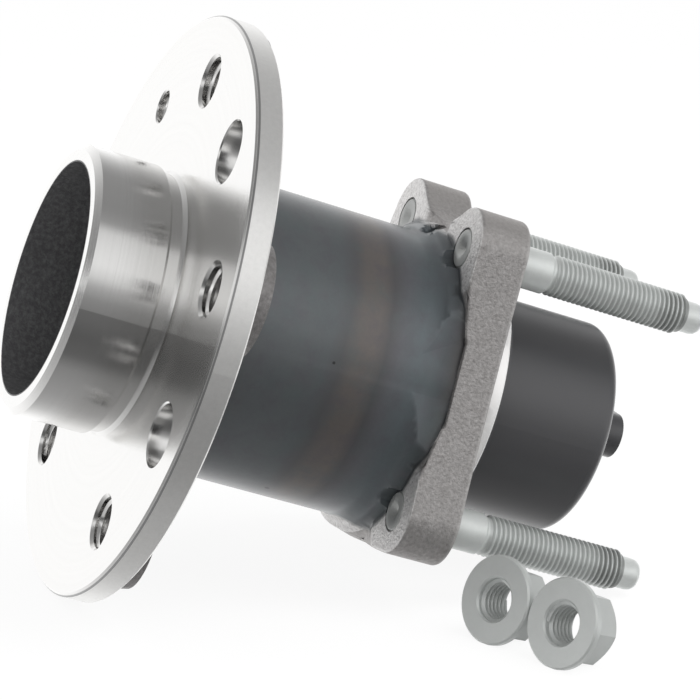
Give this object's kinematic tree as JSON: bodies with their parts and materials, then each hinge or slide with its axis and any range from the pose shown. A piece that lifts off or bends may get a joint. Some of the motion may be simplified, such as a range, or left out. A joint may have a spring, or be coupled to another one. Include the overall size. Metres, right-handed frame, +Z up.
{
  "type": "wheel hub bearing",
  "caption": "Flanged wheel spindle on a double row ball bearing, with a lobed mounting flange on threaded studs, a sensor cap and loose flange nuts.",
  "frame": {"origin": "centre of the face that the brake disc and the wheel seat on, on the axis of rotation", "axes": "+Y along the axis of rotation from the wheel side to the axle side, +Z up, midway between the two upper studs"},
  "size_m": [0.1598, 0.152, 0.1404],
  "materials": {
    "turned_steel": "bright turned steel, forged grey behind the flange",
    "blasted_steel": "shot-blasted forging with a heat-tinted barrel",
    "zinc_steel": "matt zinc plating",
    "bearing_steel": "ground and polished",
    "seal_steel": "drawn sheet",
    "seal_rubber": "matt black rubber",
    "cap_plastic": "satin black moulding",
    "coil_copper": "enamelled winding",
    "magnet_dark": "dark sintered magnet",
    "soft_iron": "plain pressed sheet",
    "terminal_brass": "plated contact",
    "cage_plastic": "glass-filled natural nylon"
  },
  "bodies": {
    "housing": {"outer_ring": "blasted_steel", "mounting_studs": "zinc_steel", "outboard_seal_case": "seal_steel", "outboard_seal_lip": "seal_rubber", "sensor_cap": "cap_plastic", "cap_sealing_ring": "seal_rubber", "sensor_coil": "coil_copper", "sensor_magnet": "magnet_dark", "pole_ring": "soft_iron", "terminal_pins": "terminal_brass", "flange_nuts": "zinc_steel"},
    "hub": {"hub_spindle": "turned_steel", "inboard_inner_ring": "bearing_steel", "thrust_washer": "seal_steel", "spindle_nut": "zinc_steel", "seal_flinger": "seal_steel", "pulse_ring": "soft_iron"},
    "cage_outboard": {"outboard_cage": "cage_plastic", "outboard_balls": "bearing_steel"},
    "cage_inboard": {"inboard_cage": "cage_plastic", "inboard_balls": "bearing_steel"}
  },
  "joints": [
    {"name": "hub_spin", "type": "hinge", "parent": "housing", "child": "hub", "pos_m": [0, 0, 0], "axis": [0, 1, 0], "continuous": true},
    {"name": "cage_outboard_spin", "type": "hinge", "parent": "housing", "child": "cage_outboard", "pos_m": [0, 0.03, 0], "axis": [0, 1, 0], "continuous": true},
    {"name": "cage_inboard_spin", "type": "hinge", "parent": "housing", "child": "cage_inboard", "pos_m": [0, 0.058, 0], "axis": [0, 1, 0], "continuous": true}
  ],
  "couplings": [
    {"joint": "cage_outboard_spin", "follows": "hub_spin", "ratio": 0.409},
    {"joint": "cage_inboard_spin", "follows": "hub_spin", "ratio": 0.409}
  ]
}
